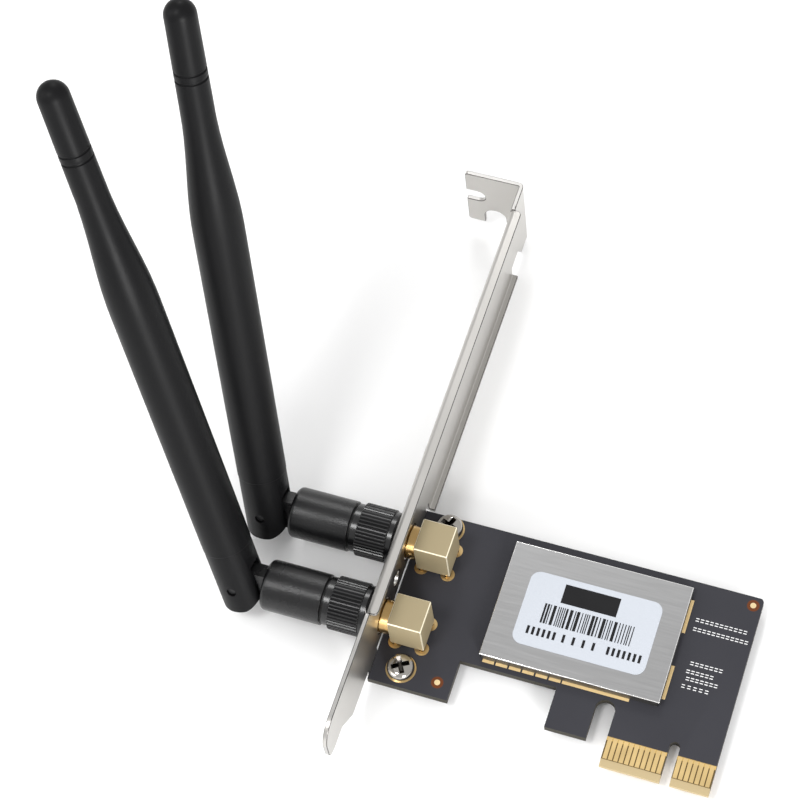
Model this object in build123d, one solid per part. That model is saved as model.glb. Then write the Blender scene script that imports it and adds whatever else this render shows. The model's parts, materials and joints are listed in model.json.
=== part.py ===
from build123d import *
import math
import os

os.makedirs("parts", exist_ok=True)

# The frame: X runs along the card with the bracket at -X, Y goes up the card from the finger edge,
# Z leaves the component side. The origin is the key notch centre, finger edge, mid thickness.

# Card blank
board_thickness = 1.57
board_reach = 57.35         # key centre to the edge beside the bracket
board_top_margin = 2.5      # upper screw centre to the top edge
board_corner = 0.8
foot_width = 15.15          # lower corner block that carries the lower screw
foot_bottom = 4.0
lower_edge = 12.13          # long recessed edge between foot and hook
hook_width = 7.8
hook_bottom = 4.2
slot_width = 3.7            # between hook and finger blade
slot_top = 12.4
key_width = 1.9
key_top = 8.1
blade_bevel_height = 1.3
blade_bevel_depth = 0.4

# Finger contacts
contact_pitch = 1.0
contact_width = 0.78
contact_margin = 0.15       # above the bevel
contact_length = 4.15
contact_thickness = 0.05
contacts_before_key = 11
contacts_after_key = 7
key_to_contact = 1.5
blade_margin = 0.65         # outermost contact centre to the side of the blade

# Gold lands
land_thickness = 0.05
fiducial_diameter = 1.1
foot_fiducial = (2.73, 2.87)        # in from the foot's right and lower edges
corner_fiducial = (1.7, 1.78)       # in from the board's right and top edges

# Shield can
can_setback = 18.4          # board edge beside the bracket to the can
can_side_margin = 12.87     # can to the board's far edge
can_lower_margin = 1.56
can_upper_margin = 2.14
can_height = 1.95
can_wall = 0.22
can_edge_radius = 0.2
can_relief_radius = 0.45
can_land_width = 1.15
side_land_length = 6.8
side_land_inset = 1.7
dash_count = 6
dash_length = 2.2
dash_pitch = 2.55
dash_inset = 0.7
strip_gap = 0.3
strip_inset = 5.6

# Label on the can
label_length = 25.25
label_height = 14.9
label_thickness = 0.1
label_corner = 1.9
label_shift = (0.25, -0.38)

# Parts under the can, set out from its walls and from each other
amplifier_side = 4.0
amplifier_height = 0.8
amplifier_gap = 2.5         # can wall to the amplifiers
amplifier_spread = 10.4     # between the amplifiers' middles
radio_side = 9.0
radio_height = 0.9
radio_gap = 3.2             # amplifiers to the radio chip
crystal_length = 3.2
crystal_width = 2.5
crystal_height = 0.75
crystal_gap = 4.0           # radio chip to the crystal
inductor_side = 2.0
inductor_height = 1.2
inductor_pitch = 3.6
inductor_count = 3
inductor_gap = 3.6          # can walls to the inductors
capacitor_length = 0.8
capacitor_width = 1.5
capacitor_height = 0.7
capacitor_pitch = 1.7
capacitor_count = 8
capacitor_gap = 2.8         # amplifiers to the capacitors, and can wall to the capacitors

# Bracket
sheet = 0.86
bend_radius = 0.2           # inside of every fold
edge_gap = 0.05             # board edge to the start of the fold
bracket_length = 120.02
bracket_below = 14.7        # finger edge to the tip of the tongue
bracket_width = 18.42
tab_depth = 11.2
tab_skirt = 4.6             # full width part of the face under the tab
skirt_slant = 2.0           # its lower corner runs down to the narrowed face
tab_trim = 2.1              # the tab's outer part is this much narrower
neck_height = 6.0           # narrowed face between skirt and lip
face_cut = 3.3              # narrowed face: in from the low edge
high_lip_reach = 1.4
high_lip_start = 6.4        # down from the top of the tab
high_lip_end = 10.3         # up from the finger edge
high_lip_corner = 0.9
low_lip_reach = 1.12
low_lip_above_board = 1.2
low_lip_corner = 0.2
tongue_width = 10.16
shoulder_top = 3.9          # below the finger edge
shoulder_drop = 4.4
tip_corner_low = 2.4
tip_corner_high = 4.2
tab_corner = 0.7
tab_slot_width = 3.3
tab_slot_depth = 3.9
tab_slot_height = 11.1      # up from the low edge to the slot's middle
notch_width = 4.4
notch_depth = 6.9
notch_place = 5.5           # out from the face to the screw notch's middle
ear_width = 4.9
ear_margin = 3.0            # screw centre to the end of the ear
ear_corner = 0.9
window_diameter = 3.2
window_height = 4.8
barrel_hole_gap = 0.3

# Bracket screws
screw_setback = 5.15        # board edge to the screw centres
lower_screw_rise = 3.6      # foot's lower edge to the lower screw
screw_head_diameter = 5.2
screw_head_height = 1.9
screw_head_round = 1.15
screw_shank_diameter = 2.9
screw_hole_gap = 0.15
screw_thread_gap = 0.05
screw_tip = 1.1
cross_length = 2.9
cross_width = 0.62
cross_depth = 1.1
screw_land_margin = 0.25

# Antenna jacks
jack_setback = 5.05         # board edge to the block's middle
jack_pitch = 15.61
lower_jack_gap = 1.5        # lower screw head to the lower block
upper_jack_gap = 0.69       # upper block to the upper screw head
block_length = 6.55
block_width = 6.5
block_height = 8.6
block_standoff = 0.88
block_chamfer = 0.18
jack_axis_height = 4.75
leg_diameter = 1.0
leg_inset = 0.7
leg_tip = 1.1
leg_hole_gap = 0.1
leg_land_margin = 0.75
barrel_diameter = 6.35
barrel_wall = 0.87
barrel_chamfer = 0.35
jack_bore_depth = 7.0
insulator_step = 0.25
contact_pin_diameter = 0.92
leg_bore_diameter = 3.0
press_gap = 0.02
solder_height = 0.75
solder_base = 0.3           # wider than the leg, at the board
solder_top = 0.1            # wider than the leg, at the cone's end

# Antenna plugs
nut_gap = 0.9               # bracket face to the nut
nut_length = 8.95
nut_diameter = 10.2
nut_teeth = 40
nut_groove = 0.3
nut_tooth_share = 0.4       # flat top of a tooth as a share of the pitch
nut_collar_length = 1.2
nut_collar_step = 0.5       # collar is this much slimmer than the knurl
nut_nose_length = 1.8
nut_nose_chamfer = 0.9
nut_wall = 0.45
thread_gap = 0.05
flange_length = 1.0
flange_gap = 0.12
flange_lip = 0.6
spigot_length = 3.5
ferrule_wall = 0.45
ferrule_head_lip = 0.65
ferrule_head_length = 1.0
running_gap = 0.1
end_gap = 0.15
socket_wall = 0.27
socket_bore_depth = 3.0
socket_overlap = 2.3
plug_recess = 0.2

# Elbows
elbow_gap = 0.15            # nut to elbow
elbow_diameter = 9.7
elbow_collar_diameter = 8.6
elbow_collar_length = 0.25
elbow_nut_edge = 0.25       # rounding beside the nut
elbow_hinge_edge = 0.9      # rounding beside the hinge
elbow_neck_length = 2.6
elbow_feed_diameter = 1.8
elbow_feed_length = 5.5
hinge_reach = 17.65         # nut to the hinge pin
hinge_clear = 0.25          # knuckle's swing to the elbow's end
tongue_thickness = 3.2
tongue_half_width = 3.2

# Antenna rods, measured from the hinge pin
rod_radius = 4.62
knuckle_step = 0.07         # knuckle is this much slimmer than the sleeve
knuckle_swing = 5.2         # base below the hinge pin, round on the elbow side only
knuckle_edge = 0.4
knuckle_flat_step = 0.55    # flat on the elbow side
knuckle_flat_length = 6.2
tongue_side_gap = 0.12
tongue_end_gap = 0.35
pin_diameter = 1.8
pin_recess = 0.55
seam_height = 8.6
rod_spigot_wall = 1.3
rod_spigot_length = 5.6
rod_length = 108.8
tip_length = 21.3           # slim end above the taper
taper_length = 24.5
tip_radius = 3.0
tip_draft = 0.15
groove_start = 13.1         # down from the tip
groove_pitch = 1.6
groove_count = 2
groove_width = 0.45
groove_depth = 0.28
bore_margin = 3.0           # wide bore stops short of the taper
feed_radius = 0.9
feed_start = 0.8            # above the seam
feed_margin = 10.8          # below the tip
radiator_radius = 2.2
radiator_start = 1.8        # above the knuckle's spigot
radiator_margin = 14.0      # below the end of the wide bore

# Rest pose in degrees: swivel from +Y towards +Z, tilt away from straight
swivel_angle_high = 67.9
swivel_angle_low = 69.3
tilt_angle_high = 81.1
tilt_angle_low = 72.5

# Cutting shapes run past the faces by over, joined shapes sink in by lap
over = 1.0
lap = 0.1

# Places that follow from the sizes above
screw_low_y = foot_bottom + lower_screw_rise
jack_low_y = screw_low_y + screw_head_diameter / 2 + lower_jack_gap + block_width / 2
jack_high_y = jack_low_y + jack_pitch
screw_high_y = jack_high_y + block_width / 2 + upper_jack_gap + screw_head_diameter / 2
board_height = screw_high_y + board_top_margin
board_top = board_thickness / 2
board_under = -board_thickness / 2
board_left = -board_reach
blade_left = -(key_to_contact + (contacts_before_key - 1) * contact_pitch + blade_margin)
blade_right = key_to_contact + (contacts_after_key - 1) * contact_pitch + blade_margin
foot_right = board_left + foot_width
land_top = board_top + land_thickness
face_inner = board_left - bend_radius - edge_gap
face_outer = face_inner - sheet
outer_bend = bend_radius + sheet
bracket_low = board_under - sheet
bracket_high = bracket_low + bracket_width
bracket_tip = -bracket_below
bracket_top = bracket_tip + bracket_length
face_low = bracket_low + face_cut
skirt_low = bracket_top - tab_skirt
low_lip_top = skirt_low - neck_height
screw_x = board_left + screw_setback
screw_levels = (screw_low_y, screw_high_y)
screw_hole_radius = screw_shank_diameter / 2 + screw_hole_gap
jack_x = board_left + jack_setback
jack_axis_z = board_top + jack_axis_height
jack_levels = {"upper": jack_high_y, "lower": jack_low_y}
leg_radius = leg_diameter / 2
leg_hole_radius = leg_radius + leg_hole_gap
leg_dx = block_length / 2 - leg_inset
leg_dy = block_width / 2 - leg_inset
leg_spots = [(leg_dx * sx, leg_dy * sy) for sx in (-1, 1) for sy in (-1, 1)]
pin_radius = contact_pin_diameter / 2
barrel_radius = barrel_diameter / 2
jack_bore_radius = barrel_radius - barrel_wall
nut_bore_radius = barrel_radius + thread_gap
nut_front = face_outer - nut_gap
nut_back = nut_front - nut_length
flange_back = nut_back + nut_wall + end_gap / 2
barrel_mouth = flange_back + flange_length
jack_bore_bottom = barrel_mouth + jack_bore_depth
spigot_tip = barrel_mouth + spigot_length
spigot_radius = jack_bore_radius - thread_gap
flange_radius = nut_bore_radius - flange_gap
neck_radius = flange_radius - flange_lip
head_radius = neck_radius + ferrule_head_lip
ferrule_bore_radius = spigot_radius - ferrule_wall
socket_radius = pin_radius + press_gap + socket_wall
elbow_start = nut_back - elbow_gap
elbow_neck_end = elbow_start - elbow_neck_length
head_front = elbow_neck_end - end_gap / 2
ferrule_end = head_front - ferrule_head_length
hinge_x = nut_back - hinge_reach
elbow_end = hinge_x + knuckle_swing + hinge_clear
swivels = {"upper": swivel_angle_high, "lower": swivel_angle_low}
tilts = {"upper": tilt_angle_high, "lower": tilt_angle_low}


def block(x0, x1, y0, y1, z0, z1):
    middle = ((x0 + x1) / 2, (y0 + y1) / 2, (z0 + z1) / 2)
    return Pos(*middle) * Box(x1 - x0, y1 - y0, z1 - z0)


def post(x, y, z0, z1, radius):
    return Pos(x, y, (z0 + z1) / 2) * Cylinder(radius, z1 - z0)


def ring(x, y, z0, z1, outer, inner):
    return post(x, y, z0, z1, outer) - post(x, y, z0 - over, z1 + over, inner)


def board_hole(x, y, radius):
    return post(x, y, board_under - over, board_top + over, radius)


def rod_x(x0, x1, radius):
    return Pos((x0 + x1) / 2, 0, 0) * Rot(0, 90, 0) * Cylinder(radius, x1 - x0)


def rod_y(y0, y1, radius):
    return Pos(0, (y0 + y1) / 2, 0) * Rot(-90, 0, 0) * Cylinder(radius, y1 - y0)


def prism(points, plane, amount):
    return extrude(plane * make_face(Polyline(*points, close=True)), amount)


def turned(points):
    return revolve(make_face(Polyline(*points, close=True)), Axis.X)


def save(name, *solids):
    shape = solids[0] if len(solids) == 1 else Compound(list(solids))
    export_step(shape, "parts/" + name + ".step")


# Card blank with its blades, key notch, slot and drilled holes
slot_left = blade_left - slot_width
slot_middle = (slot_left + blade_left) / 2
hook_left = slot_left - hook_width
blank_points = [
    (board_left, foot_bottom),
    (foot_right, foot_bottom),
    (foot_right, lower_edge),
    (hook_left, lower_edge),
    (hook_left, hook_bottom),
    (slot_middle, hook_bottom),
    (slot_middle, 0),
    (blade_right, 0),
    (blade_right, board_height),
    (board_left, board_height),
]
board = prism(blank_points, Plane.XY.offset(board_under), board_thickness)
far_corners = board.edges().filter_by(Axis.Z).sort_by(Axis.X)[-2:]
board = fillet(far_corners.sort_by(Axis.Y)[-1], board_corner)
for middle, width, top in ((slot_middle, slot_width, slot_top), (0, key_width, key_top)):
    round_y = top - width / 2
    cut_low = board_under - over
    cut_high = board_top + over
    board -= block(middle - width / 2, middle + width / 2, -over, round_y, cut_low, cut_high)
    board -= board_hole(middle, round_y, width / 2)
for side in (-1, 1):
    bevel_points = [
        (-over, side * (board_top + over)),
        (-over, side * (board_top - blade_bevel_depth)),
        (0, side * (board_top - blade_bevel_depth)),
        (blade_bevel_height, side * board_top),
        (blade_bevel_height, side * (board_top + over)),
    ]
    board -= prism(bevel_points, Plane.YZ.offset(slot_middle), blade_right - slot_middle + over)
for y in screw_levels:
    board -= board_hole(screw_x, y, screw_hole_radius)
for y in jack_levels.values():
    board -= board_hole(jack_x, y, pin_radius + leg_hole_gap)
    for dx, dy in leg_spots:
        board -= board_hole(jack_x + dx, y + dy, leg_hole_radius)
save("circuit_board", board)

# Finger contacts on both sides
first_contact = -(key_to_contact + (contacts_before_key - 1) * contact_pitch)
contact_places = [first_contact + i * contact_pitch for i in range(contacts_before_key)]
contact_places += [key_to_contact + i * contact_pitch for i in range(contacts_after_key)]
contact_bottom = blade_bevel_height + contact_margin
contact_top = contact_bottom + contact_length
front_contacts = []
back_contacts = []
for x in contact_places:
    span = (x - contact_width / 2, x + contact_width / 2, contact_bottom, contact_top)
    front_contacts.append(block(*span, board_top, board_top + contact_thickness))
    back_contacts.append(block(*span, board_under - contact_thickness, board_under))
save("edge_contacts_front", *front_contacts)
save("edge_contacts_back", *back_contacts)

# Gold dots and rings
fiducial_points = [
    (foot_right - foot_fiducial[0], foot_bottom + foot_fiducial[1]),
    (blade_right - corner_fiducial[0], board_height - corner_fiducial[1]),
]
save("fiducial_dots", *[post(x, y, board_top, land_top, fiducial_diameter / 2) for x, y in fiducial_points])
screw_land_radius = screw_head_diameter / 2 + screw_land_margin
screw_rings = [
    ring(screw_x, y, board_top, land_top, screw_land_radius, screw_hole_radius)
    for y in screw_levels
]
save("screw_lands", *screw_rings)
leg_rings = [
    ring(jack_x + dx, y + dy, board_top, land_top, leg_hole_radius + leg_land_margin, leg_hole_radius)
    for y in jack_levels.values()
    for dx, dy in leg_spots
]
save("jack_lands", *leg_rings)

# Shield can, open below, with relieved corners
can_x0 = board_left + can_setback
can_x1 = blade_right - can_side_margin
can_y0 = lower_edge + can_lower_margin
can_y1 = board_height - can_upper_margin
can_x = (can_x0 + can_x1) / 2
can_y = (can_y0 + can_y1) / 2
can_top = land_top + can_height
can_inner_top = can_top - can_wall
can = block(can_x0, can_x1, can_y0, can_y1, land_top, can_top)
can = fillet(can.faces().sort_by(Axis.Z)[-1].edges(), can_edge_radius)
can -= block(
    can_x0 + can_wall, can_x1 - can_wall, can_y0 + can_wall, can_y1 - can_wall, board_under, can_inner_top
)
for x in (can_x0, can_x1):
    for y in (can_y0, can_y1):
        can -= post(x, y, board_under, can_inner_top, can_relief_radius)
save("shield_can", can)

# Lands that the can is soldered to
lands = []
half_land = can_land_width / 2
for x in (can_x0 + half_land, can_x1):
    for y0 in (can_y0 + side_land_inset, can_y1 - side_land_inset - side_land_length):
        lands.append(block(x - half_land, x + half_land, y0, y0 + side_land_length, board_top, land_top))
dash_start = can_x0 + dash_inset
strip_start = dash_start + (dash_count - 1) * dash_pitch + dash_length + strip_gap
for y in (can_y0, can_y1):
    for i in range(dash_count):
        x = dash_start + i * dash_pitch
        lands.append(block(x, x + dash_length, y - half_land, y + half_land, board_top, land_top))
    lands.append(block(strip_start, can_x1 - strip_inset, y - half_land, y + half_land, board_top, land_top))
save("shield_lands", *lands)

# Paper label on the can
label = Rectangle(label_length, label_height)
label = fillet(label.vertices(), label_corner)
label_place = Pos(can_x + label_shift[0], can_y + label_shift[1], can_top)
save("shield_label", extrude(label_place * label, label_thickness))


# Parts under the can, seated on the board
def chip(x0, y, length, width, height):
    return block(x0, x0 + length, y - width / 2, y + width / 2, board_top, board_top + height)


amplifier_x0 = can_x0 + can_wall + amplifier_gap
amplifier_x1 = amplifier_x0 + amplifier_side
amplifiers = [
    chip(amplifier_x0, can_y + side * amplifier_spread / 2, amplifier_side, amplifier_side, amplifier_height)
    for side in (-1, 1)
]
save("amplifier_chips", *amplifiers)
radio_x0 = amplifier_x1 + radio_gap
save("radio_chip", chip(radio_x0, can_y, radio_side, radio_side, radio_height))
crystal_x0 = radio_x0 + radio_side + crystal_gap
save("crystal", chip(crystal_x0, can_y, crystal_length, crystal_width, crystal_height))
inductor_x1 = can_x1 - can_wall - inductor_gap
inductor_y = can_y0 + can_wall + inductor_gap + inductor_side / 2
inductor_x0 = inductor_x1 - inductor_side - (inductor_count - 1) * inductor_pitch
inductors = [
    chip(inductor_x0 + i * inductor_pitch, inductor_y, inductor_side, inductor_side, inductor_height)
    for i in range(inductor_count)
]
save("inductors", *inductors)
capacitor_x0 = amplifier_x1 + capacitor_gap
capacitor_y = can_y1 - can_wall - capacitor_gap - capacitor_width / 2
capacitors = [
    chip(capacitor_x0 + i * capacitor_pitch, capacitor_y, capacitor_length, capacitor_width, capacitor_height)
    for i in range(capacitor_count)
]
save("capacitors", *capacitors)

# Bracket: a face strip with folded tab, lips and ears
tongue_low = bracket_high - tongue_width
face_points = [
    (bracket_tip, tongue_low),
    (-shoulder_top - shoulder_drop, tongue_low),
    (-shoulder_top, face_low),
    (skirt_low - skirt_slant, face_low),
    (skirt_low, bracket_low),
    (skirt_low, bracket_high),
    (bracket_tip, bracket_high),
]
face = make_face(Polyline(*face_points, close=True))
tip_points = face.vertices().sort_by(Axis.X)[:2].sort_by(Axis.Y)
face = fillet(tip_points[0], tip_corner_low)
high_points = face.vertices().sort_by(Axis.Y)[-2:].sort_by(Axis.X)
face = fillet(high_points[0], tip_corner_high)
bracket = extrude(Plane.YZ.offset(face_outer) * face, sheet)

# Tab fold at the top, with its slot and screw notch
tab_end = face_outer - tab_depth
tab_under = bracket_top - sheet
with BuildSketch(Plane.XY.offset(bracket_low)) as tab_sketch:
    with BuildLine():
        Line((face_inner, skirt_low), (face_inner, bracket_top - outer_bend))
        RadiusArc((face_inner, bracket_top - outer_bend), (face_inner - outer_bend, bracket_top), -outer_bend)
        Polyline(
            (face_inner - outer_bend, bracket_top), (tab_end, bracket_top),
            (tab_end, tab_under), (face_outer - bend_radius, tab_under),
        )
        RadiusArc((face_outer - bend_radius, tab_under), (face_outer, tab_under - bend_radius), bend_radius)
        Polyline((face_outer, tab_under - bend_radius), (face_outer, skirt_low), (face_inner, skirt_low))
    make_face()
tab = extrude(tab_sketch.sketch, bracket_width)


def tab_cut(x0, x1, z0, z1):
    return block(x0, x1, tab_under - lap, bracket_top + lap, z0, z1)


def tab_hole(x, z, radius):
    return Pos(x, bracket_top, z) * Rot(90, 0, 0) * Cylinder(radius, 2 * sheet + 2 * lap)


notch_x = face_outer - notch_place
notch_radius = notch_width / 2
notch_round_z = bracket_low + notch_depth - notch_radius
slot_z = bracket_low + tab_slot_height
slot_radius = tab_slot_width / 2
slot_round_x = tab_end + tab_slot_depth - slot_radius
tab -= tab_cut(tab_end - over, notch_x, bracket_low - over, bracket_low + tab_trim)
tab -= tab_cut(notch_x - notch_radius, notch_x + notch_radius, bracket_low - over, notch_round_z)
tab -= tab_hole(notch_x, notch_round_z, notch_radius)
tab -= tab_cut(tab_end - over, slot_round_x, slot_z - slot_radius, slot_z + slot_radius)
tab -= tab_hole(slot_round_x, slot_z, slot_radius)
outer_edges = tab.edges().filter_by(Axis.Y).sort_by(Axis.X)[:4].sort_by(Axis.Z)
tab = fillet([outer_edges[0], outer_edges[-1]], tab_corner)
bracket += tab


# A strip of the face folded towards the board, with its free corners rounded
def fold(edge_z, inward, reach, corner, y0, y1):
    root_z = edge_z + inward * (face_cut + over)
    start_z = edge_z + inward * outer_bend
    shelf_z = edge_z + inward * sheet
    inner_z = shelf_z + inward * bend_radius
    free_x = face_inner + reach
    with BuildSketch(Plane.XZ.offset(-y0)) as fold_sketch:
        with BuildLine():
            Line((face_outer, root_z), (face_outer, start_z))
            RadiusArc((face_outer, start_z), (face_outer + outer_bend, edge_z), -inward * outer_bend)
            Polyline(
                (face_outer + outer_bend, edge_z), (free_x, edge_z),
                (free_x, shelf_z), (face_inner + bend_radius, shelf_z),
            )
            RadiusArc((face_inner + bend_radius, shelf_z), (face_inner, inner_z), inward * bend_radius)
            Polyline((face_inner, inner_z), (face_inner, root_z), (face_outer, root_z))
        make_face()
    strip = extrude(fold_sketch.sketch, y0 - y1)
    upright = strip.edges().filter_by(Axis.Z)
    return fillet(upright.sort_by(Axis.X)[-2:], corner)


high_lip_top = bracket_top - high_lip_start
bracket -= block(
    face_outer - over, face_inner + over, high_lip_end, high_lip_top,
    bracket_high - face_cut, bracket_high + over,
)
bracket += fold(bracket_high, -1, high_lip_reach, high_lip_corner, high_lip_end, high_lip_top)
low_lip_bottom = board_height + low_lip_above_board
bracket += fold(bracket_low, 1, low_lip_reach, low_lip_corner, low_lip_bottom, low_lip_top)
ear_reach = screw_x + ear_margin - face_inner
tapped_radius = screw_shank_diameter / 2 + screw_thread_gap
for y in screw_levels:
    bracket += fold(bracket_low, 1, ear_reach, ear_corner, y - ear_width / 2, y + ear_width / 2)
    bracket -= post(screw_x, y, bracket_low - over, board_under + lap, tapped_radius)
for y in jack_levels.values():
    hole = rod_x(face_outer - over, face_inner + over, barrel_radius + barrel_hole_gap)
    bracket -= Pos(0, y, jack_axis_z) * hole
window = rod_x(face_outer - over, face_inner + over, window_diameter / 2)
bracket -= Pos(0, (jack_low_y + jack_high_y) / 2, board_top + window_height) * window
save("bracket", bracket)

# Bracket screws: pan heads with a cross recess
screws = []
head_top = land_top + screw_head_height
for y in screw_levels:
    head = post(screw_x, y, land_top, head_top, screw_head_diameter / 2)
    head = fillet(head.edges().sort_by(Axis.Z)[-1], screw_head_round)
    for length, width in ((cross_length, cross_width), (cross_width, cross_length)):
        head -= Pos(screw_x, y, head_top) * Box(length, width, 2 * cross_depth)
    screws.append(head + post(screw_x, y, bracket_low - screw_tip, land_top + lap, screw_shank_diameter / 2))
save("bracket_screws", *screws)

# Antenna jacks: block on four legs, threaded barrel, insulator and bent contact pin
block_low = board_top + block_standoff
leg_end = board_under - leg_tip
insulator_radius = jack_bore_radius - insulator_step
insulator_back = jack_x - leg_bore_diameter / 2
pin_tip = spigot_tip - plug_recess - socket_overlap
solder_cones = []
for level, y in jack_levels.items():
    on_axis = Pos(0, y, jack_axis_z)
    body = Pos(jack_x, y, block_low + block_height / 2) * Box(block_length, block_width, block_height)
    body = chamfer(body.edges(), block_chamfer)
    barrel = rod_x(barrel_mouth, jack_x, barrel_radius)
    barrel = chamfer(barrel.edges().sort_by(Axis.X)[0], barrel_chamfer)
    body += on_axis * barrel
    for dx, dy in leg_spots:
        body += post(jack_x + dx, y + dy, leg_end, block_low + block_chamfer + lap, leg_radius)
    body -= on_axis * rod_x(barrel_mouth - over, jack_bore_bottom, jack_bore_radius)
    hole_end = insulator_back + leg_bore_diameter
    body -= on_axis * rod_x(jack_bore_bottom - lap, hole_end, insulator_radius + press_gap)
    body -= post(jack_x, y, block_low - over, jack_axis_z, leg_bore_diameter / 2)
    save("jack_body_" + level, body)
    insulator = rod_x(jack_bore_bottom, insulator_back, insulator_radius)
    insulator -= rod_x(jack_bore_bottom - over, insulator_back + over, pin_radius + press_gap)
    save("jack_insulator_" + level, on_axis * insulator)
    pin = rod_x(pin_tip, jack_x + pin_radius, pin_radius)
    pin = chamfer(pin.edges().sort_by(Axis.X)[0], pin_radius / 2)
    save("jack_pin_" + level, on_axis * pin + post(jack_x, y, leg_end, jack_axis_z, pin_radius))
    for dx, dy, radius in [(dx, dy, leg_radius) for dx, dy in leg_spots] + [(0, 0, pin_radius)]:
        place = Pos(jack_x + dx, y + dy, board_under - solder_height / 2)
        cone = Cone(radius + solder_top, radius + solder_base, solder_height)
        cone -= Cylinder(radius + press_gap, solder_height + over)
        solder_cones.append(place * cone)
save("jack_solder", *solder_cones)

# Antenna plug, turned on the X axis: knurled nut, ferrule, insulator and socket
nut_radius = nut_diameter / 2
root_radius = nut_radius - nut_groove
collar_radius = nut_radius - nut_collar_step
tooth_start = 0.5 - nut_tooth_share / 2
tooth_end = 0.5 + nut_tooth_share / 2
tooth_corners = ((0, root_radius), (tooth_start, nut_radius), (tooth_end, nut_radius))
knurl_points = []
for i in range(nut_teeth):
    for share, radius in tooth_corners:
        angle = 2 * math.pi * (i + share) / nut_teeth
        knurl_points.append((radius * math.cos(angle), radius * math.sin(angle)))
knurl_start = nut_back + nut_collar_length
knurl_end = nut_front - nut_nose_length
knurl = prism(knurl_points, Plane.YZ.offset(knurl_start), knurl_end - knurl_start)
knurl -= rod_x(knurl_start - over, knurl_end + over, nut_bore_radius)
neck_hole_radius = neck_radius + running_gap
nut_points = [
    (nut_back, neck_hole_radius),
    (nut_back, collar_radius),
    (knurl_start, collar_radius),
    (knurl_start, root_radius),
    (nut_front - nut_nose_chamfer, root_radius),
    (nut_front, root_radius - nut_nose_chamfer),
    (nut_front, nut_bore_radius),
    (nut_back + nut_wall, nut_bore_radius),
    (nut_back + nut_wall, neck_hole_radius),
]
nut = turned(nut_points) + knurl
ferrule_points = [
    (ferrule_end, ferrule_bore_radius),
    (ferrule_end, head_radius),
    (head_front, head_radius),
    (head_front, neck_radius),
    (flange_back, neck_radius),
    (flange_back, flange_radius),
    (barrel_mouth, flange_radius),
    (barrel_mouth, spigot_radius),
    (spigot_tip, spigot_radius),
    (spigot_tip, ferrule_bore_radius),
]
ferrule = turned(ferrule_points)
core_end = spigot_tip - plug_recess
core = rod_x(ferrule_end, core_end, ferrule_bore_radius - press_gap)
core -= rod_x(ferrule_end - over, core_end + over, socket_radius + press_gap)
socket = rod_x(ferrule_end, core_end, socket_radius)
socket -= rod_x(core_end - socket_bore_depth, core_end + over, pin_radius + press_gap)

# Elbow on the X axis, with its hinge tongue across the pin
main_start = elbow_start - elbow_collar_length
elbow = rod_x(elbow_end, main_start, elbow_diameter / 2)
elbow_rims = elbow.edges().filter_by(GeomType.CIRCLE).sort_by(Axis.X)
elbow = fillet(elbow_rims[0], elbow_hinge_edge)
elbow_rims = elbow.edges().filter_by(GeomType.CIRCLE).sort_by(Axis.X)
elbow = fillet(elbow_rims[-1], elbow_nut_edge)
elbow += rod_x(main_start - elbow_nut_edge, elbow_start, elbow_collar_diameter / 2)
half_tongue = tongue_thickness / 2
elbow += block(
    hinge_x, elbow_end + elbow_hinge_edge, -tongue_half_width, tongue_half_width, -half_tongue, half_tongue
)
elbow += post(hinge_x, 0, -half_tongue, half_tongue, tongue_half_width)
elbow -= post(hinge_x, 0, -tongue_thickness, tongue_thickness, pin_diameter / 2 + thread_gap)
elbow -= rod_x(elbow_neck_end - lap, elbow_start + over, neck_hole_radius)
chamber_end = ferrule_end - end_gap
elbow -= rod_x(chamber_end, elbow_neck_end, head_radius + running_gap)
feed_end_x = chamber_end - elbow_feed_length
elbow -= rod_x(feed_end_x, chamber_end + lap, elbow_feed_diameter / 2 + press_gap)
elbow_feed = rod_x(feed_end_x, chamber_end, elbow_feed_diameter / 2)

# Rod pieces, drawn along +Y from the hinge with the elbow side towards +X
knuckle_radius = rod_radius - knuckle_step
rod_spigot_radius = rod_radius - rod_spigot_wall
rod_spigot_end = seam_height + rod_spigot_length
base_edge = knuckle_edge - knuckle_swing
with BuildSketch(Plane.XY) as knuckle_sketch:
    with BuildLine():
        Polyline(
            (0, -knuckle_swing), (0, rod_spigot_end), (rod_spigot_radius, rod_spigot_end),
            (rod_spigot_radius, seam_height), (knuckle_radius, seam_height), (knuckle_radius, base_edge),
        )
        RadiusArc((knuckle_radius, base_edge), (knuckle_radius - knuckle_edge, -knuckle_swing), knuckle_edge)
        Line((knuckle_radius - knuckle_edge, -knuckle_swing), (0, -knuckle_swing))
    make_face()
knuckle = revolve(knuckle_sketch.sketch, Axis.Y)
half_slot = half_tongue + tongue_side_gap
slot_clear = tongue_half_width + tongue_end_gap
beyond = knuckle_swing + over
swing_corner = block(0, beyond, -beyond, 0, -beyond, beyond)
knuckle -= swing_corner - Cylinder(knuckle_swing, 2 * beyond + over)
knuckle -= block(-slot_clear, beyond, -beyond, slot_clear, -half_slot, half_slot)
flat_u = knuckle_radius - knuckle_flat_step
knuckle -= block(flat_u, beyond, -beyond, knuckle_flat_length, -beyond, beyond)
knuckle -= Cylinder(pin_diameter / 2 + press_gap, 2 * beyond)
hinge_pin = Cylinder(pin_diameter / 2, 2 * (knuckle_radius - pin_recess))

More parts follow.
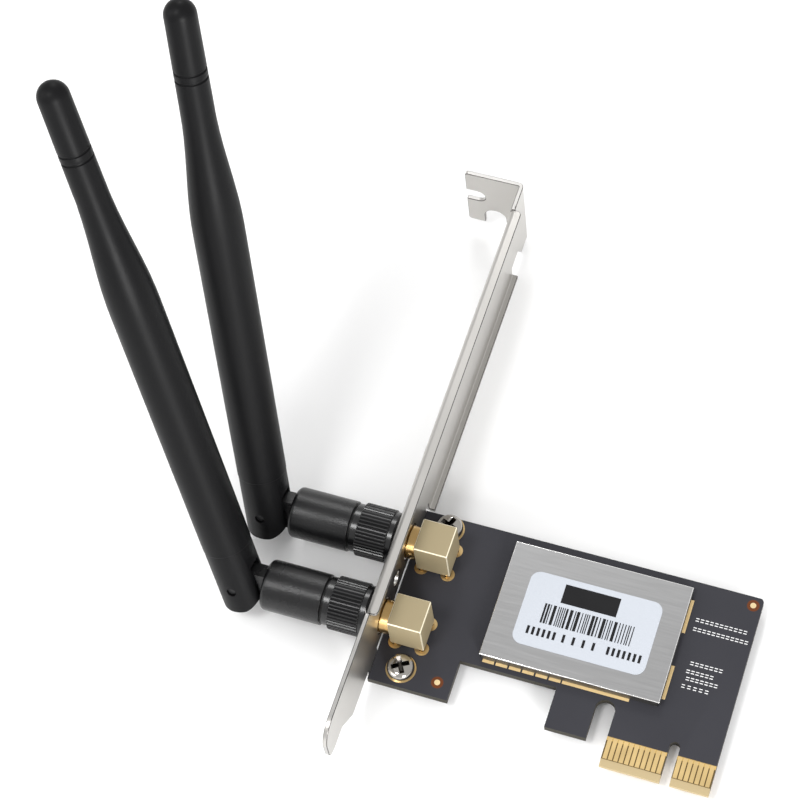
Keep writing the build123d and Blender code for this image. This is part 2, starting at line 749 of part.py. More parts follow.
taper_end = rod_length - tip_length
taper_start = taper_end - taper_length
tip_end_radius = tip_radius - tip_draft
tip_dome = rod_length - tip_end_radius
with BuildSketch(Plane.XY) as sleeve_sketch:
    with BuildLine():
        Polyline((0, seam_height), (rod_radius, seam_height), (rod_radius, taper_start))
        Spline((rod_radius, taper_start), (tip_radius, taper_end), tangents=((0, 1), (0, 1)))
        Line((tip_radius, taper_end), (tip_end_radius, tip_dome))
        CenterArc((0, tip_dome), tip_end_radius, 0, 90)
        Line((0, rod_length), (0, seam_height))
    make_face()
sleeve = revolve(sleeve_sketch.sketch, Axis.Y)
bore_end = taper_start - bore_margin
feed_y0 = seam_height + feed_start
feed_y1 = rod_length - feed_margin
feed = rod_y(feed_y0, feed_y1, feed_radius)
feed_hole = rod_y(feed_y0, feed_y1, feed_radius + press_gap)
knuckle -= feed_hole
sleeve -= feed_hole
sleeve -= rod_y(seam_height, bore_end, rod_spigot_radius + press_gap)
for i in range(groove_count):
    groove_y = rod_length - groove_start - i * groove_pitch
    groove_y0 = groove_y - groove_width / 2
    groove_y1 = groove_y + groove_width / 2
    groove_ring = rod_y(groove_y0, groove_y1, tip_radius + over)
    sleeve -= groove_ring - rod_y(groove_y0, groove_y1, tip_radius - groove_depth)
radiator_y0 = rod_spigot_end + radiator_start
radiator_y1 = bore_end - radiator_margin
radiator = rod_y(radiator_y0, radiator_y1, radiator_radius) - feed_hole

# Both antennas in their rest pose
for level, y in jack_levels.items():
    on_axis = Pos(0, y, jack_axis_z)
    swung = on_axis * Rot(swivels[level], 0, 0)
    tilted = swung * Pos(hinge_x, 0, 0) * Rot(0, 0, 90 - tilts[level])
    save("coupling_nut_" + level, on_axis * nut)
    save("plug_ferrule_" + level, on_axis * ferrule)
    save("plug_insulator_" + level, on_axis * core)
    save("plug_socket_" + level, on_axis * socket)
    save("elbow_" + level, swung * elbow)
    save("elbow_feed_" + level, swung * elbow_feed)
    save("hinge_pin_" + level, tilted * hinge_pin)
    save("knuckle_" + level, tilted * knuckle)
    save("rod_sleeve_" + level, tilted * sleeve)
    save("radiator_" + level, tilted * radiator)
    save("rod_feed_" + level, tilted * feed)
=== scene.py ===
import bpy
import bmesh
import json
import math
import random
from mathutils import Euler, Matrix, Vector


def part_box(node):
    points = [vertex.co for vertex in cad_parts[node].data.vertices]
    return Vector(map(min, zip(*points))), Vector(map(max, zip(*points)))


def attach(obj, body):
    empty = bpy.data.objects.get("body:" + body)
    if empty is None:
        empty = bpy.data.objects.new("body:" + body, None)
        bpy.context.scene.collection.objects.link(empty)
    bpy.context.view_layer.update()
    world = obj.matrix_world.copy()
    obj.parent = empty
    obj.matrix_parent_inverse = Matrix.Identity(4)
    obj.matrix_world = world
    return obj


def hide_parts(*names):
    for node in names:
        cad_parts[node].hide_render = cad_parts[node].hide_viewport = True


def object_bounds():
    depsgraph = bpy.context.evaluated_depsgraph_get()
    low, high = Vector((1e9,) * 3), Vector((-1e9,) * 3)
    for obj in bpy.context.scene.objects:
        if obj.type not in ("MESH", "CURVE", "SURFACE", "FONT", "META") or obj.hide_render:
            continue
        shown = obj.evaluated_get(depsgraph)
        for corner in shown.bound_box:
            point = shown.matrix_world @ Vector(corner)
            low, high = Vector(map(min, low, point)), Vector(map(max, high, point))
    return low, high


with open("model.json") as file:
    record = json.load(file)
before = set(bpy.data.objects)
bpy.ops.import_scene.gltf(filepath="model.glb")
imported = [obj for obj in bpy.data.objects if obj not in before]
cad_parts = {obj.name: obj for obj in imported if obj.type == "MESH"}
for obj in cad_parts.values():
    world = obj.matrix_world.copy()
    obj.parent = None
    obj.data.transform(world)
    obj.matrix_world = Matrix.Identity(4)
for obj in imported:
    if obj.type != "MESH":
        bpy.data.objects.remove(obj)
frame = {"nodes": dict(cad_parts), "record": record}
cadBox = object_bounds()
nodes = frame["nodes"]
record = frame["record"]
mm = 0.001
bodyOf = {n: b for b, names in record["behaviour"]["bodies"].items() for n in names}
levels = ("upper", "lower")
hair = 1e-6  # m, the tolerance for points that lie together
sharpAngle = math.radians(32)
noiseBand = (0.3, 0.7)  # most of a noise texture lies between these
mixFactor, mixFirst, mixSecond, mixResult = 0, 6, 7, 2  # colour sockets of a Mix node
print("frame loaded:", len(nodes), "nodes")


# node groups shared by the finishes

def makeGroup(name, inputs, outputs):
    tree = bpy.data.node_groups.new(name, "ShaderNodeTree")
    for label, kind, value in inputs:
        socket = tree.interface.new_socket(name=label, in_out="INPUT", socket_type=kind)
        socket.default_value = value
    for label, kind in outputs:
        tree.interface.new_socket(name=label, in_out="OUTPUT", socket_type=kind)
    return tree, tree.nodes.new("NodeGroupInput"), tree.nodes.new("NodeGroupOutput")


def addNode(tree, kind, **values):
    node = tree.nodes.new(kind)
    for key, value in values.items():
        setattr(node, key, value)
    return node


def grainGroup():  # moulded or cast skin: fine bumps plus a slow drift
    tree, gin, gout = makeGroup(
        "surfaceGrain",
        [("Scale", "NodeSocketFloat", 4000.0), ("Drift Scale", "NodeSocketFloat", 90.0),
         ("Low", "NodeSocketFloat", 0.4), ("High", "NodeSocketFloat", 0.6)],
        [("Height", "NodeSocketFloat"), ("Roughness", "NodeSocketFloat"), ("Drift", "NodeSocketFloat")],
    )
    link = tree.links.new
    coords = addNode(tree, "ShaderNodeTexCoord")
    fine = addNode(tree, "ShaderNodeTexNoise")
    fine.inputs["Detail"].default_value = 5.0
    fine.inputs["Roughness"].default_value = 0.62
    drift = addNode(tree, "ShaderNodeTexNoise")
    drift.inputs["Detail"].default_value = 3.0
    spread = addNode(tree, "ShaderNodeMapRange")
    spread.inputs["From Min"].default_value = noiseBand[0]
    spread.inputs["From Max"].default_value = noiseBand[1]
    link(coords.outputs["Object"], fine.inputs["Vector"])
    link(coords.outputs["Object"], drift.inputs["Vector"])
    link(gin.outputs["Scale"], fine.inputs["Scale"])
    link(gin.outputs["Drift Scale"], drift.inputs["Scale"])
    link(drift.outputs["Fac"], spread.inputs["Value"])
    link(gin.outputs["Low"], spread.inputs["To Min"])
    link(gin.outputs["High"], spread.inputs["To Max"])
    link(fine.outputs["Fac"], gout.inputs["Height"])
    link(spread.outputs["Result"], gout.inputs["Roughness"])
    link(drift.outputs["Fac"], gout.inputs["Drift"])
    return tree


def drawnGroup():  # rolled or drawn metal: long faint lines
    tree, gin, gout = makeGroup(
        "drawnLines",
        [("Stretch", "NodeSocketVector", (1.0, 1.0, 1.0)), ("Low", "NodeSocketFloat", 0.2),
         ("High", "NodeSocketFloat", 0.35)],
        [("Height", "NodeSocketFloat"), ("Roughness", "NodeSocketFloat")],
    )
    link = tree.links.new
    coords = addNode(tree, "ShaderNodeTexCoord")
    stretch = addNode(tree, "ShaderNodeVectorMath", operation="MULTIPLY")
    lines = addNode(tree, "ShaderNodeTexNoise")
    lines.inputs["Scale"].default_value = 1.0
    lines.inputs["Detail"].default_value = 4.0
    spread = addNode(tree, "ShaderNodeMapRange")
    spread.inputs["From Min"].default_value = noiseBand[0]
    spread.inputs["From Max"].default_value = noiseBand[1]
    link(coords.outputs["Object"], stretch.inputs[0])
    link(gin.outputs["Stretch"], stretch.inputs[1])
    link(stretch.outputs["Vector"], lines.inputs["Vector"])
    link(lines.outputs["Fac"], spread.inputs["Value"])
    link(gin.outputs["Low"], spread.inputs["To Min"])
    link(gin.outputs["High"], spread.inputs["To Max"])
    link(lines.outputs["Fac"], gout.inputs["Height"])
    link(spread.outputs["Result"], gout.inputs["Roughness"])
    return tree


grainTree = grainGroup()
drawnTree = drawnGroup()


def startMaterial(name, color, metallic, roughness):
    material = bpy.data.materials.new(name)
    material.use_nodes = True
    tree = material.node_tree
    shader = tree.nodes["Principled BSDF"]
    shader.inputs["Base Color"].default_value = (*color, 1.0)
    shader.inputs["Metallic"].default_value = metallic
    shader.inputs["Roughness"].default_value = roughness
    material.diffuse_color = (*color, 1.0)
    return material, tree, shader


def addBump(tree, shader, height, distance, strength):
    bump = addNode(tree, "ShaderNodeBump")
    bump.inputs["Distance"].default_value = distance
    bump.inputs["Strength"].default_value = strength
    tree.links.new(height, bump.inputs["Height"])
    tree.links.new(bump.outputs["Normal"], shader.inputs["Normal"])


def tintNode(tree, shader, factor, darker, lighter):
    mix = addNode(tree, "ShaderNodeMix", data_type="RGBA")
    mix.inputs[mixFirst].default_value = (*darker, 1.0)
    mix.inputs[mixSecond].default_value = (*lighter, 1.0)
    tree.links.new(factor, mix.inputs[mixFactor])
    tree.links.new(mix.outputs[mixResult], shader.inputs["Base Color"])


bumpStrength = {"grain": 0.6, "drawn": 0.35}
drawnTint = (0.95, 1.04)


def grainMaterial(name, look):
    color = look["color"]
    material, tree, shader = startMaterial(name, color, look["metallic"], look["rough"])
    shader.inputs["Specular IOR Level"].default_value = look.get("specular", 0.5)
    grain = addNode(tree, "ShaderNodeGroup", node_tree=grainTree)
    grain.inputs["Scale"].default_value = look["grain"]
    grain.inputs["Drift Scale"].default_value = look["drift"]
    grain.inputs["Low"].default_value = look["rough"] - look["vary"]
    grain.inputs["High"].default_value = look["rough"] + look["vary"]
    tree.links.new(grain.outputs["Roughness"], shader.inputs["Roughness"])
    tint = look.get("tint", 0.08)
    darker = [c * (1 - tint) for c in color]
    lighter = [min(1.0, c * (1 + tint)) for c in color]
    tintNode(tree, shader, grain.outputs["Drift"], darker, lighter)
    addBump(tree, shader, grain.outputs["Height"], look["depth"] * mm, bumpStrength["grain"])
    return material


def drawnMaterial(name, look):
    color = look["color"]
    material, tree, shader = startMaterial(name, color, 1.0, look["rough"])
    lines = addNode(tree, "ShaderNodeGroup", node_tree=drawnTree)
    lines.inputs["Stretch"].default_value = look["stretch"]
    lines.inputs["Low"].default_value = look["rough"] - look["vary"]
    lines.inputs["High"].default_value = look["rough"] + look["vary"]
    tree.links.new(lines.outputs["Roughness"], shader.inputs["Roughness"])
    darker = [c * drawnTint[0] for c in color]
    lighter = [min(1.0, c * drawnTint[1]) for c in color]
    tintNode(tree, shader, lines.outputs["Height"], darker, lighter)
    addBump(tree, shader, lines.outputs["Height"], look["depth"] * mm, bumpStrength["drawn"])
    return material


# grain and drift are counts per metre, depth is in mm
grainLooks = {
    "nickelSheet": {"color": (0.57, 0.555, 0.53), "metallic": 1.0, "rough": 0.32, "vary": 0.04,
                    "grain": 2400.0, "drift": 45.0, "depth": 0.002, "tint": 0.02},
    # painted shade: a near-black finish for the bracket's eased edges
    "nickelEdgeShade": {"color": (0.13, 0.125, 0.12), "metallic": 1.0, "rough": 0.28, "vary": 0.04,
                   "grain": 2400.0, "drift": 90.0, "depth": 0.002, "tint": 0.02},
    "nickelCut": {"color": (0.50, 0.49, 0.475), "metallic": 1.0, "rough": 0.36, "vary": 0.06,
                  "grain": 3200.0, "drift": 400.0, "depth": 0.006, "tint": 0.04},
    # painted shade: a dark finish for the walls and floor of the screws' cross recess
    "recessShade": {"color": (0.075, 0.07, 0.065), "metallic": 1.0, "rough": 0.20, "vary": 0.04,
                   "grain": 5200.0, "drift": 400.0, "depth": 0.004},
    "goldPlate": {"color": (0.82, 0.60, 0.28), "metallic": 1.0, "rough": 0.34, "vary": 0.06,
                  "grain": 5200.0, "drift": 300.0, "depth": 0.006},
    "landGold": {"color": (0.64, 0.46, 0.22), "metallic": 1.0, "rough": 0.36, "vary": 0.08,
                 "grain": 5200.0, "drift": 500.0, "depth": 0.01},
    "padGold": {"color": (0.80, 0.59, 0.29), "metallic": 0.25, "rough": 0.42, "vary": 0.06,
                "grain": 5200.0, "drift": 500.0, "depth": 0.008},
    "dotGold": {"color": (0.95, 0.74, 0.42), "metallic": 1.0, "rough": 0.36, "vary": 0.06,
                "grain": 5200.0, "drift": 500.0, "depth": 0.006},
    "paleGold": {"color": (0.37, 0.305, 0.185), "metallic": 0.3, "rough": 0.46, "vary": 0.04,
                 "grain": 6000.0, "drift": 160.0, "depth": 0.004, "tint": 0.04, "specular": 0.3},
    # painted highlight: a near-white finish for the jack blocks' chamfers
    "paleEdgeHighlight": {"color": (0.95, 0.87, 0.66), "metallic": 0.5, "rough": 0.32, "vary": 0.04,
                 "grain": 6000.0, "drift": 160.0, "depth": 0.004, "tint": 0.04},
    "barrelGold": {"color": (0.70, 0.47, 0.20), "metallic": 1.0, "rough": 0.19, "vary": 0.04,
                   "grain": 5200.0, "drift": 300.0, "depth": 0.006},
    "screwNickel": {"color": (0.43, 0.41, 0.38), "metallic": 1.0, "rough": 0.10, "vary": 0.04,
                    "grain": 5200.0, "drift": 400.0, "depth": 0.004},
    "solder": {"color": (0.60, 0.60, 0.61), "metallic": 1.0, "rough": 0.24, "vary": 0.08,
               "grain": 3800.0, "drift": 500.0, "depth": 0.02},
    "pinSteel": {"color": (0.020, 0.020, 0.021), "metallic": 0.2, "rough": 0.40, "vary": 0.06,
                 "grain": 5200.0, "drift": 400.0, "depth": 0.01, "specular": 0.3},
    "brass": {"color": (0.66, 0.48, 0.20), "metallic": 1.0, "rough": 0.28, "vary": 0.06,
              "grain": 5200.0, "drift": 300.0, "depth": 0.01},
    "whiteResin": {"color": (0.82, 0.82, 0.79), "metallic": 0.0, "rough": 0.42, "vary": 0.05,
                   "grain": 4200.0, "drift": 200.0, "depth": 0.01},
    "chipResin": {"color": (0.022, 0.022, 0.024), "metallic": 0.0, "rough": 0.5, "vary": 0.06,
                  "grain": 5200.0, "drift": 300.0, "depth": 0.02},
    "ceramic": {"color": (0.36, 0.27, 0.18), "metallic": 0.0, "rough": 0.5, "vary": 0.06,
                "grain": 5200.0, "drift": 300.0, "depth": 0.01},
    "cableJacket": {"color": (0.03, 0.03, 0.03), "metallic": 0.0, "rough": 0.5, "vary": 0.06,
                    "grain": 4200.0, "drift": 200.0, "depth": 0.01},
    "rodBlack": {"color": (0.0055, 0.0055, 0.006), "metallic": 0.0, "rough": 0.42, "vary": 0.05,
                 "grain": 3600.0, "drift": 70.0, "depth": 0.03, "specular": 0.12},
    "elbowBlack": {"color": (0.0045, 0.0045, 0.005), "metallic": 0.0, "rough": 0.30, "vary": 0.05,
                   "grain": 2800.0, "drift": 120.0, "depth": 0.10, "specular": 0.46},
    "ribBlack": {"color": (0.008, 0.008, 0.0085), "metallic": 0.0, "rough": 0.36, "vary": 0.03,
                 "grain": 4600.0, "drift": 160.0, "depth": 0.002, "specular": 0.5},
    "nutBlack": {"color": (0.0045, 0.0045, 0.005), "metallic": 0.0, "rough": 0.24, "vary": 0.03,
                 "grain": 4600.0, "drift": 160.0, "depth": 0.002, "specular": 0.55},
    "blackInk": {"color": (0.012, 0.012, 0.013), "metallic": 0.0, "rough": 0.42, "vary": 0.05,
                 "grain": 6000.0, "drift": 300.0, "depth": 0.004, "specular": 0.15},
    "whiteInk": {"color": (0.80, 0.80, 0.80), "metallic": 0.0, "rough": 0.55, "vary": 0.05,
                 "grain": 6000.0, "drift": 300.0, "depth": 0.004},
    "labelPaper": {"color": (0.52, 0.55, 0.60), "metallic": 0.0, "rough": 0.48, "vary": 0.06,
                   "grain": 2600.0, "drift": 60.0, "depth": 0.005, "tint": 0.03},
}
drawnLooks = {
    "tinPlate": {"color": (0.41, 0.41, 0.412), "rough": 0.36, "vary": 0.06,
                 "stretch": (120.0, 5200.0, 120.0), "depth": 0.003},
    # painted highlight: a near-white tin for the can's sloped rim faces
    "tinEdge": {"color": (0.92, 0.91, 0.90), "rough": 0.26, "vary": 0.05,
                "stretch": (120.0, 5200.0, 120.0), "depth": 0.004},
    # painted shade: a dark copy of the tin for the can's side walls
    "tinSide": {"color": (0.16, 0.155, 0.15), "rough": 0.5, "vary": 0.06,
                "stretch": (120.0, 120.0, 5200.0), "depth": 0.008},
}
finish = {name: grainMaterial(name, look) for name, look in grainLooks.items()}
for name, look in drawnLooks.items():
    finish[name] = drawnMaterial(name, look)

# solder mask on the laminate: bare blades, bare bevel, cut edges and the rings round the gold dots
maskBoard = {
    "mask": (0.038, 0.038, 0.045), "edge": (0.028, 0.025, 0.017), "gap": (0.105, 0.068, 0.022),
    "bevel": (0.42, 0.33, 0.185), "ring": (0.130, 0.038, 0.012), "ringRadius": 1.15 * mm,
    "band": (0.55, 0.37, 0.13), "bandLine": 5.0 * mm, "maskLine": 5.72 * mm, "bevelLine": 1.33 * mm,
    "bladeLeft": -12.4 * mm, "rough": 0.44, "specular": 0.15,
    "roughBand": (-0.05, 0.06), "toneBand": (0.9, 1.1), "grain": 3400.0, "drift": 60.0,
    "bumpDepth": 0.02 * mm, "bumpStrength": 0.5, "edgeSlope": 0.6, "dotRadius": 0.55 * mm,
}


def maskMaterial():
    material, tree, shader = startMaterial("boardMask", maskBoard["mask"], 0.0, maskBoard["rough"])
    shader.inputs["Specular IOR Level"].default_value = maskBoard["specular"]
    link = tree.links.new
    coords = addNode(tree, "ShaderNodeTexCoord")
    split = addNode(tree, "ShaderNodeSeparateXYZ")
    link(coords.outputs["Object"], split.inputs[0])
    grain = addNode(tree, "ShaderNodeGroup", node_tree=grainTree)
    grain.inputs["Scale"].default_value = maskBoard["grain"]
    grain.inputs["Drift Scale"].default_value = maskBoard["drift"]
    grain.inputs["Low"].default_value = maskBoard["rough"] + maskBoard["roughBand"][0]
    grain.inputs["High"].default_value = maskBoard["rough"] + maskBoard["roughBand"][1]
    link(grain.outputs["Roughness"], shader.inputs["Roughness"])

    def compare(value, limit, kind):
        node = addNode(tree, "ShaderNodeMath", operation=kind)
        link(value, node.inputs[0])
        node.inputs[1].default_value = limit
        return node.outputs[0]

    def both(first, second):
        node = addNode(tree, "ShaderNodeMath", operation="MULTIPLY")
        link(first, node.inputs[0])
        link(second, node.inputs[1])
        return node.outputs[0]

    def layer(under, mask, color):
        node = addNode(tree, "ShaderNodeMix", data_type="RGBA")
        link(mask, node.inputs[mixFactor])
        link(under, node.inputs[mixFirst])
        node.inputs[mixSecond].default_value = (*color, 1.0)
        return node.outputs[mixResult]

    tone = addNode(tree, "ShaderNodeMix", data_type="RGBA")
    for socket, share in zip((mixFirst, mixSecond), maskBoard["toneBand"]):
        tone.inputs[socket].default_value = (*[c * share for c in maskBoard["mask"]], 1.0)
    link(grain.outputs["Drift"], tone.inputs[mixFactor])
    color = tone.outputs[mixResult]
    for spot in dotCenters():
        away = addNode(tree, "ShaderNodeVectorMath", operation="DISTANCE")
        flat = addNode(tree, "ShaderNodeCombineXYZ")
        link(split.outputs["X"], flat.inputs["X"])
        link(split.outputs["Y"], flat.inputs["Y"])
        link(flat.outputs[0], away.inputs[0])
        away.inputs[1].default_value = spot
        near = compare(away.outputs["Value"], maskBoard["ringRadius"], "LESS_THAN")
        color = layer(color, near, maskBoard["ring"])
    blade = both(
        compare(split.outputs["Y"], maskBoard["maskLine"], "LESS_THAN"),
        compare(split.outputs["X"], maskBoard["bladeLeft"], "GREATER_THAN"),
    )
    color = layer(color, blade, maskBoard["band"])
    gaps = both(blade, compare(split.outputs["Y"], maskBoard["bandLine"], "LESS_THAN"))
    color = layer(color, gaps, maskBoard["gap"])
    surface = addNode(tree, "ShaderNodeNewGeometry")
    normal = addNode(tree, "ShaderNodeSeparateXYZ")
    link(surface.outputs["True Normal"], normal.inputs[0])
    steep = addNode(tree, "ShaderNodeMath", operation="ABSOLUTE")
    link(normal.outputs["Z"], steep.inputs[0])
    color = layer(color, compare(steep.outputs[0], maskBoard["edgeSlope"], "LESS_THAN"), maskBoard["edge"])
    bevel = both(blade, compare(split.outputs["Y"], maskBoard["bevelLine"], "LESS_THAN"))
    color = layer(color, bevel, maskBoard["bevel"])
    link(color, shader.inputs["Base Color"])
    addBump(tree, shader, grain.outputs["Height"], maskBoard["bumpDepth"], maskBoard["bumpStrength"])
    return material


def dotCenters():  # the two gold dots, from their solids' box
    low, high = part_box("fiducial_dots")
    half = maskBoard["dotRadius"]
    return [(low[0] + half, low[1] + half, 0.0), (high[0] - half, high[1] - half, 0.0)]


finish["boardMask"] = maskMaterial()
print("finishes made:", len(finish))


# fine copies of the solids: merged, edges eased, shaded smooth

def newPiece(name, bm, material):
    mesh = bpy.data.meshes.new(name)
    bm.to_mesh(mesh)
    bm.free()
    piece = bpy.data.objects.new(name, mesh)
    bpy.context.scene.collection.objects.link(piece)
    mesh.materials.append(finish[material])
    for face in mesh.polygons:
        face.use_smooth = True
    mesh.set_sharp_from_angle(angle=sharpAngle)
    return piece


def easeEdges(piece, width, angle, clamp=True):
    bevel = piece.modifiers.new("easedEdges", "BEVEL")
    bevel.width = width * mm
    bevel.segments = 2
    bevel.limit_method = "ANGLE"
    bevel.angle_limit = angle
    bevel.use_clamp_overlap = clamp
    return bevel


def standFor(piece, name):  # takes the solid's place and body
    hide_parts(name)
    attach(piece, bodyOf[name])


def refineNode(name, material, ease, edge=None, clamp=True):
    bm = bmesh.new()
    bm.from_mesh(nodes[name].data)
    bmesh.ops.remove_doubles(bm, verts=bm.verts, dist=hair)
    bmesh.ops.dissolve_limit(bm, angle_limit=math.radians(0.5), verts=bm.verts, edges=bm.edges)
    piece = newPiece(name + "_fine", bm, material)
    if ease:
        bevel = easeEdges(piece, ease, sharpAngle, clamp)
        if edge:
            piece.data.materials.append(finish[edge])
            bevel.material = 1
    standFor(piece, name)
    return piece


def paintNode(name, look):
    nodes[name].data.materials.clear()
    nodes[name].data.materials.append(finish[look])


plainNodes = {  # solids that keep their own mesh
    "edge_contacts_front": "goldPlate", "edge_contacts_back": "goldPlate", "fiducial_dots": "dotGold",
    "screw_lands": "landGold", "jack_lands": "landGold", "shield_lands": "padGold",
    "shield_label": "labelPaper", "radio_chip": "chipResin", "amplifier_chips": "chipResin",
    "crystal": "tinPlate", "inductors": "chipResin", "capacitors": "ceramic", "jack_solder": "solder",
}
plainPairs = {
    "jack_insulator": "whiteResin", "jack_pin": "goldPlate", "plug_ferrule": "brass",
    "plug_insulator": "whiteResin", "plug_socket": "goldPlate", "elbow_feed": "cableJacket",
    "radiator": "brass", "rod_feed": "cableJacket",
}
finePairs = {  # piece: finish, eased edge in mm
    "jack_body": ("paleGold", 0.06), "elbow": ("elbowBlack", 0.12), "hinge_pin": ("pinSteel", 0.1),
    "knuckle": ("rodBlack", 0.15), "rod_sleeve": ("rodBlack", 0.08),
}
for name, look in plainNodes.items():
    paintNode(name, look)
for level in levels:
    for name, look in plainPairs.items():
        paintNode(name + "_" + level, look)
    for name, (look, ease) in finePairs.items():
        refineNode(name + "_" + level, look, ease)

jackLook = {"legHeight": 0.6, "flatNormal": 0.9}
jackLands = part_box("jack_lands")
legTop = jackLands[1][2] + jackLook["legHeight"] * mm
for level in levels:  # the barrels and legs are a warmer gold than the blocks, whose chamfered edges carry a painted highlight
    mesh = bpy.data.objects["jack_body_" + level + "_fine"].data
    mesh.materials.append(finish["barrelGold"])
    mesh.materials.append(finish["paleEdgeHighlight"])
    for face in mesh.polygons:
        if face.center.x < jackLands[0][0] or face.center.z < legTop:
            face.material_index = 1
        # the chamfer faces get the painted highlight
        elif max(abs(v) for v in face.normal) < jackLook["flatNormal"]:
            face.material_index = 2


def stripWidth(mesh, face):  # near the true width on a long face
    loop = [mesh.vertices[i].co for i in face.vertices]
    return 2 * face.area / sum((a - b).length for a, b in zip(loop, loop[1:] + loop[:1]))


bracketLook = {"ease": 0.13, "cutWidth": (0.45, 0.9)}
boardLook = {"edgeReach": 0.01, "drawnOut": 0.22}
canLook = {"ease": 0.05, "sideNormal": 0.3, "topNormal": 0.97}
# the bracket's eased edges take a near-black finish that is painted shade
bracketMesh = refineNode("bracket", "nickelSheet", bracketLook["ease"], "nickelEdgeShade", clamp=False).data
bracketMesh.materials.append(finish["nickelCut"])
cutLow, cutHigh = [v * mm for v in bracketLook["cutWidth"]]
for face in bracketMesh.polygons:  # the sheared edges are brighter than the rolled sheet
    if cutLow < stripWidth(bracketMesh, face) < cutHigh:
        face.material_index = 2
boardMesh = refineNode("circuit_board", "boardMask", 0).data
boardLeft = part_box("circuit_board")[0][0]
for vertex in boardMesh.vertices:  # drawn up to the bracket, so that no floor shows in the clearance
    if vertex.co.x < boardLeft + boardLook["edgeReach"] * mm:
        vertex.co.x -= boardLook["drawnOut"] * mm
canMesh = refineNode("shield_can", "tinPlate", canLook["ease"]).data
# painted shade on the can's side walls
canMesh.materials.append(finish["tinSide"])
# painted highlight on the can's sloped rim faces
canMesh.materials.append(finish["tinEdge"])
for face in canMesh.polygons:
    if abs(face.normal.z) < canLook["sideNormal"]:
        face.material_index = 1
    elif canLook["sideNormal"] < face.normal.z < canLook["topNormal"]:
        face.material_index = 2
print("solids dressed")


# knurled nuts: a turned profile whose middle run is cut into flat-topped ribs

nutLook = {"collarLength": 1.2, "collarStep": 0.5, "noseLength": 1.8, "noseStep": 0.3, "noseChamfer": 0.9,
           "ribs": 44, "ribDepth": 0.15, "ribEase": 0.12, "ribTop": 0.02, "wall": 0.45, "sharpDegrees": 20}
ribParts = 6  # points round each rib
ribRoots = (0, 1, 5)  # those at the bottom of the groove


def makeNut(level):
    name = "coupling_nut_" + level
    low, high = [Vector(v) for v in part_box(name)]
    center = (low + high) / 2
    radius = (high.y - low.y) / 2
    spots = [(v.co.x, math.hypot(v.co.y - center.y, v.co.z - center.z)) for v in nodes[name].data.vertices]
    neck = min(r for x, r in spots)
    bore = min(r for x, r in spots if x > high.x - hair)
    collar = radius - nutLook["collarStep"] * mm
    nose = radius - nutLook["noseStep"] * mm
    chamfer = nutLook["noseChamfer"] * mm
    ease = nutLook["ribEase"] * mm
    wall = low.x + nutLook["wall"] * mm
    ribStart = low.x + nutLook["collarLength"] * mm
    ribEnd = high.x - nutLook["noseLength"] * mm
    outline = [  # x and radius, from the back of the nut round to its bore
        (low.x, neck), (low.x, collar), (ribStart, collar), (ribStart, radius - ease),
        (ribStart + ease, radius), (ribEnd - ease, radius), (ribEnd, radius - ease), (ribEnd, nose),
        (high.x - chamfer, nose),
        (high.x, nose - chamfer), (high.x, bore), (wall, bore), (wall, neck),
    ]
    bm = bmesh.new()
    loop = [bm.verts.new((x, center.y + r, center.z)) for x, r in outline]
    rims = [bm.edges.new(pair) for pair in zip(loop, loop[1:] + loop[:1])]
    steps = nutLook["ribs"] * ribParts
    bmesh.ops.spin(bm, geom=loop + rims, cent=center, axis=(1, 0, 0), angle=2 * math.pi, steps=steps,
                   use_merge=True, use_duplicate=False)
    bmesh.ops.remove_doubles(bm, verts=bm.verts, dist=hair / 10)
    roots = []
    for v in bm.verts:
        y, z = v.co.y - center.y, v.co.z - center.z
        if math.hypot(y, z) > radius - hair:
            place = round(math.atan2(z, y) / (2 * math.pi) * steps)
            if place % ribParts in ribRoots:
                roots.append(v)
    share = 1 - nutLook["ribDepth"] * mm / radius
    bmesh.ops.scale(bm, vec=(1, share, share), space=Matrix.Translation(-center), verts=roots)
    bmesh.ops.recalc_face_normals(bm, faces=bm.faces)
    piece = newPiece(name + "_fine", bm, "nutBlack")
    for look in ("ribBlack", "rodBlack"):
        piece.data.materials.append(finish[look])
    middle = (ribStart + ribEnd) / 2
    tops = radius - nutLook["ribTop"] * mm
    grooves = radius - (nutLook["ribDepth"] - nutLook["ribTop"]) * mm
    for face in piece.data.polygons:  # worn rib tops and dull grooves beside glossy flanks
        if abs(face.center.x - middle) < ease:
            reach = math.hypot(face.center.y - center.y, face.center.z - center.z)
            if reach > tops:
                face.material_index = 1
            elif reach < grooves:
                face.material_index = 2
    piece.data.set_sharp_from_angle(angle=math.radians(nutLook["sharpDegrees"]))
    standFor(piece, name)


for level in levels:
    makeNut(level)
print("nuts made")


# pan head screws with a tapered cross recess and a short run of thread below the ear

screwLook = {"headRound": 1.2, "crossReach": 1.95, "crossWidth": 1.0, "crossDepth": 1.15,
             "crossTaper": 0.42, "crossFlare": 1.4, "turnDegrees": (30.0, -22.0), "shankRadius": 1.28,
             "threadRadius": 1.43, "threadPitch": 0.5, "threadTurns": 2, "threadSteps": 32,
             "threadSink": 0.05, "threadRise": (0.04, 0.24, 0.44), "headSides": 64, "headSteps": 8,
             "shankSides": 48, "ease": 0.04, "easeDegrees": 35}


def screwHead(bm, radius, bottom, top):
    bmesh.ops.create_cone(
        bm, cap_ends=True, segments=screwLook["headSides"], radius1=radius, radius2=radius,
        depth=top - bottom,
        matrix=Matrix.Translation((0, 0, (top + bottom) / 2)),
    )
    rim = [e for e in bm.edges if all(v.co.z > top - hair for v in e.verts)]
    bmesh.ops.bevel(bm, geom=rim, offset=screwLook["headRound"] * mm, offset_type="OFFSET", affect="EDGES",
                    segments=screwLook["headSteps"], profile=0.5, material=-1, clamp_overlap=True)


